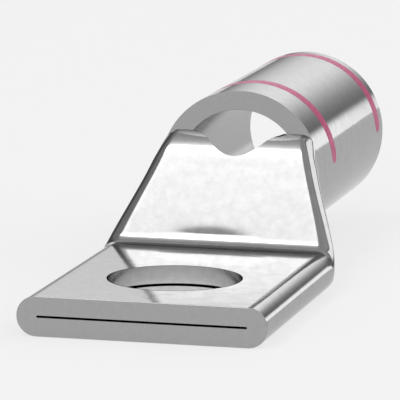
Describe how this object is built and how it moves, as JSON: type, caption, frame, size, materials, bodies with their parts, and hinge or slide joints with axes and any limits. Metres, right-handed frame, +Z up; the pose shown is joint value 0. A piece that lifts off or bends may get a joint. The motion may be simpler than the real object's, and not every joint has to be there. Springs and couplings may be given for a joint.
{
  "type": "copper cable lug",
  "caption": "Tin-plated copper compression cable lug: round wire barrel with an inspection window, formed down to a flat tongue with a stud hole.",
  "frame": {"origin": "centre of the stud hole on the tongue's mounting face", "axes": "+Y from the stud hole towards the barrel's mouth, +Z up out of the mounting face, +X across the tongue"},
  "size_m": [0.0188, 0.0537, 0.0142],
  "materials": {
    "tinned_copper": "bright electroplated tin over copper, mirror-like with a faint haze",
    "marking_ink": "thin pink marking ink, printed as plain bands round the barrel"
  },
  "bodies": {
    "root": {"lug": "tinned_copper"}
  },
  "joints": []
}
